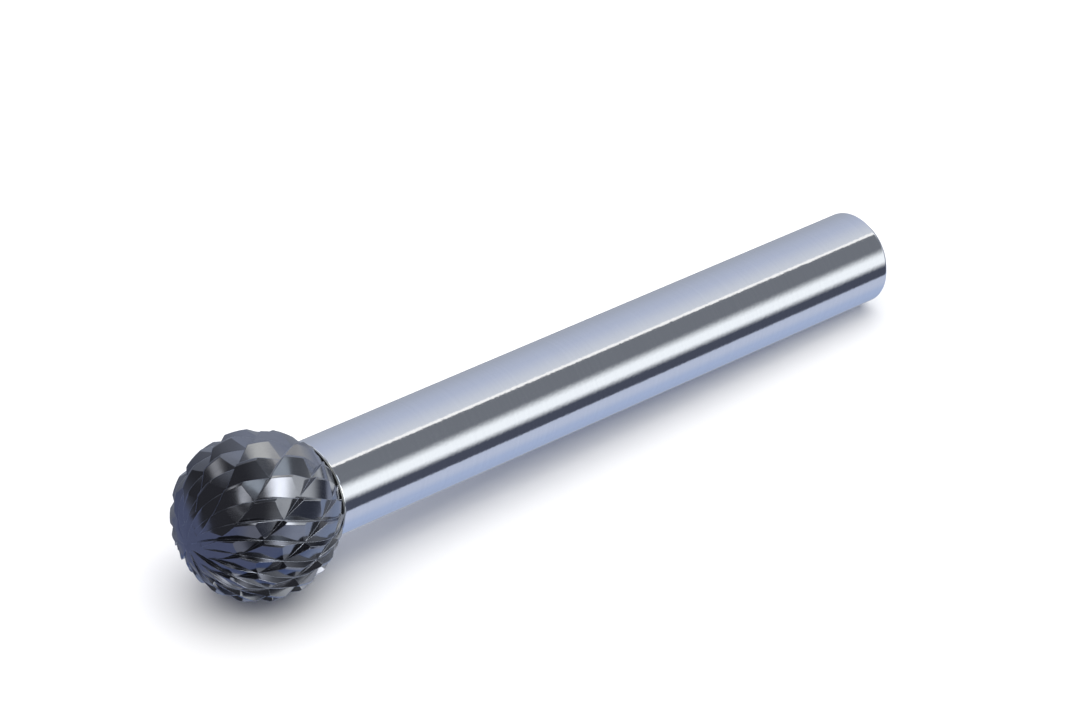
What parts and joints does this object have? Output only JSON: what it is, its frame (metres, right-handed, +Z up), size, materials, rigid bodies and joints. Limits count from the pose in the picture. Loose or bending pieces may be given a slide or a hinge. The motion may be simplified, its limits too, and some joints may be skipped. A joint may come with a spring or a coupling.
{
  "type": "carbide burr",
  "caption": "rotary burr with a double-cut ball head of tungsten carbide brazed to a plain round steel shank for a collet",
  "frame": {"origin": "under the middle of the burr, on the bench that it lies on", "axes": "+Z up, the length along X with the head towards -X; the tool's own axis is inclined by 2.3 degrees, with the shank's rear end lower"},
  "size_m": [0.054, 0.01, 0.01],
  "materials": {
    "cutting_head": "ground tungsten carbide, dark and glossy",
    "braze_joint": "silver braze, ground flush",
    "shank": "ground and polished steel"
  },
  "bodies": {
    "root": {"cutting_head": "cutting_head", "braze_joint": "braze_joint", "shank": "shank"}
  },
  "joints": []
}
